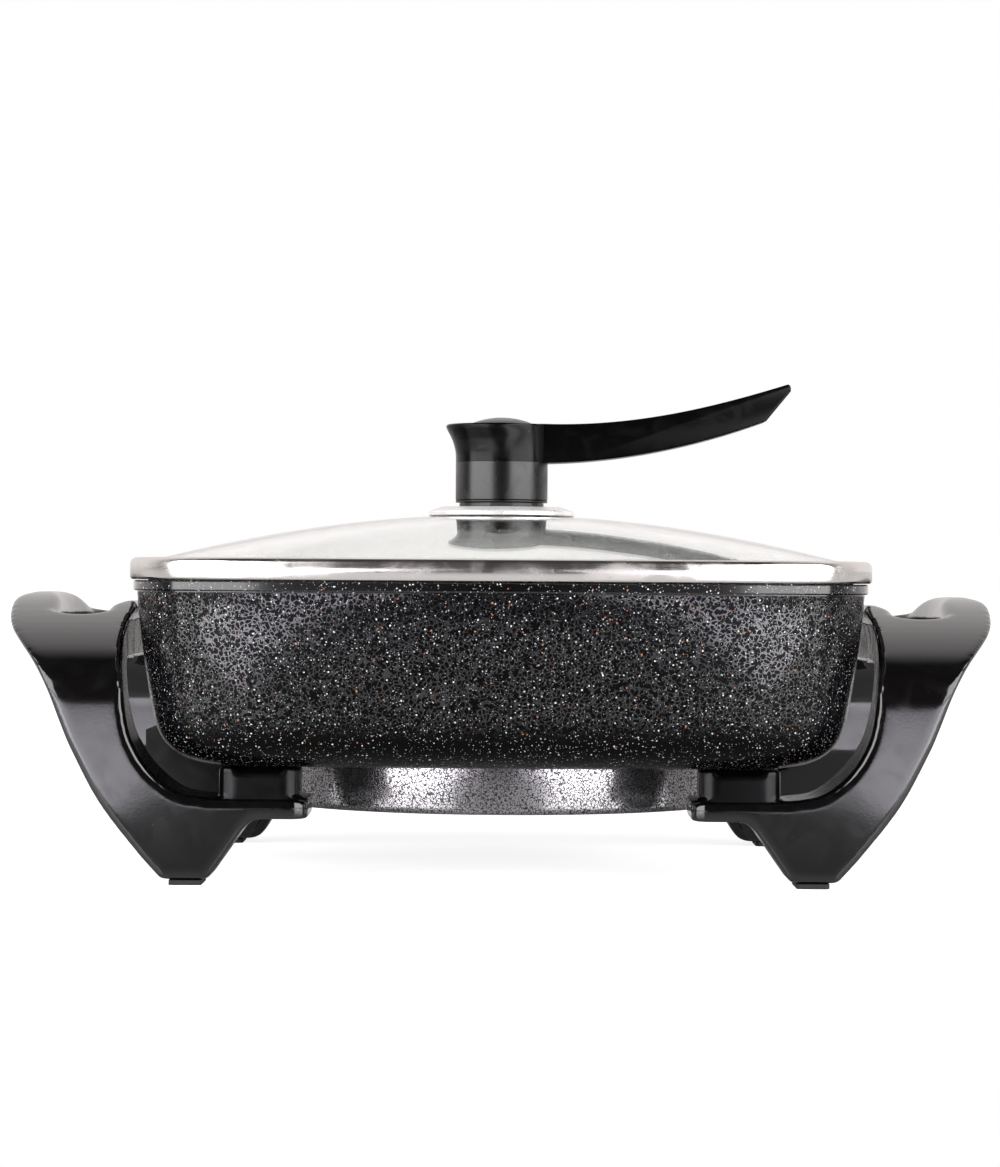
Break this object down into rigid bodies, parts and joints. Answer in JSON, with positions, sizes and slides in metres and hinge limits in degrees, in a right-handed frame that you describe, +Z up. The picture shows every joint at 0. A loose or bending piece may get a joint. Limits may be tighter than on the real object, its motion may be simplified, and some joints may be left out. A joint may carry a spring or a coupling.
{
  "type": "electric skillet",
  "caption": "Square covered electric frying pan on two leg-and-grip end mouldings, with a lift-off domed glass lid, a long lever knob and a socket for a plug-in control.",
  "frame": {"origin": "on the table plane under the middle of the pan", "axes": "+X towards the lever's tip and one grip, +Y to the rear, +Z up"},
  "size_m": [0.4304, 0.3258, 0.2161],
  "materials": {
    "pan_coating": "cast aluminium with a wrinkled black coating and pale specks",
    "hammered_paint": "silver and black hammered paint",
    "aluminium": "plain die-cast",
    "element_sheath": "oxidised tube",
    "brass": "satin",
    "socket_plastic": "satin black",
    "steel_fastener": "bright plated",
    "ceramic": "unglazed ceramic",
    "glass": "clear toughened glass, faint grey-green",
    "polished_steel": "polished stainless steel",
    "silicone": "matt translucent white",
    "knob_plastic": "satin black moulding",
    "knob_cap_plastic": "glossy black",
    "phenolic": "glossy black phenolic moulding",
    "rubber_foot": "matt black"
  },
  "bodies": {
    "base": {"pan_body": "pan_coating", "base_skirt_cover": "hammered_paint", "heat_plate": "aluminium", "heating_element": "element_sheath", "sensor_well": "brass", "probe_socket_housing": "socket_plastic", "terminal_pin_front": "steel_fastener", "terminal_bush_front": "ceramic", "terminal_pin_rear": "steel_fastener", "terminal_bush_rear": "ceramic", "cover_screw_1": "steel_fastener", "cover_screw_2": "steel_fastener", "cover_screw_3": "steel_fastener", "socket_screw_front": "steel_fastener", "socket_screw_rear": "steel_fastener", "handle_left": "phenolic", "handle_liner_left": "phenolic", "handle_screw_left_front": "steel_fastener", "foot_pad_left_front": "rubber_foot", "handle_screw_left_rear": "steel_fastener", "foot_pad_left_rear": "rubber_foot", "handle_right": "phenolic", "handle_liner_right": "phenolic", "handle_screw_right_front": "steel_fastener", "foot_pad_right_front": "rubber_foot", "handle_screw_right_rear": "steel_fastener", "foot_pad_right_rear": "rubber_foot"},
    "lid": {"lid_glass": "glass", "lid_rim": "polished_steel", "upper_gasket": "silicone", "lower_gasket": "silicone", "knob_collar": "polished_steel", "knob_seat_ring": "knob_plastic"},
    "knob": {"knob_base": "knob_plastic", "lever_handle": "knob_plastic", "knob_cap": "knob_cap_plastic", "knob_screw": "steel_fastener", "knob_insert": "brass"}
  },
  "joints": [
    {"name": "lid_lift", "type": "slide", "parent": "base", "child": "lid", "axis": [0, 0, 1], "range_m": [0, 0.15]},
    {"name": "knob_turn", "type": "hinge", "parent": "lid", "child": "knob", "pos_m": [0, 0, 0.1712], "axis": [0, 0, 1], "range_deg": [-180, 180]}
  ]
}
